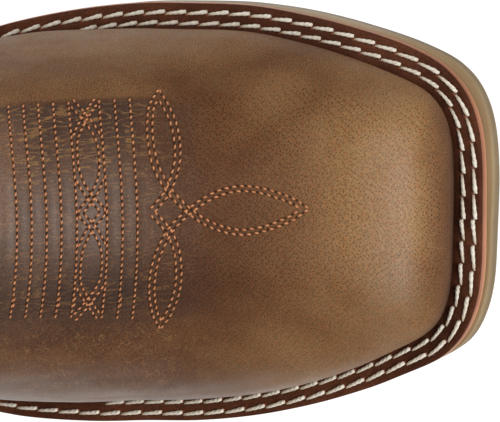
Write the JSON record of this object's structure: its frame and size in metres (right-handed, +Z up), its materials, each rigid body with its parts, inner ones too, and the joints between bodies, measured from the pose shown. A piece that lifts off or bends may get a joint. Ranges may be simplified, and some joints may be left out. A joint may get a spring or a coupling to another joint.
{
  "type": "roper boot",
  "caption": "Right pull-on roper boot with a broad square toe, stitched vamp, double-stitched welt, rubber outsole, low heel and a short leg shaft.",
  "frame": {"origin": "on the floor, under the middle of the boot's box", "axes": "+X to the toe, +Y to the inner side of the foot, +Z up"},
  "size_m": [0.305, 0.1146, 0.2994],
  "materials": {
    "upper_leather": "waxed pull-up leather, satin",
    "shaft_leather": "waxed pull-up leather, satin",
    "welt_leather": "dyed strip, waxed",
    "sole_rubber": "matte khaki",
    "insole_leather": "undyed"
  },
  "bodies": {
    "root": {"outsole": "sole_rubber", "heel": "sole_rubber", "welt": "welt_leather", "insole": "insole_leather", "upper": "upper_leather", "shaft": "shaft_leather", "heel_counter": "upper_leather", "pull_strap_inner": "shaft_leather", "pull_strap_outer": "shaft_leather"}
  },
  "joints": []
}
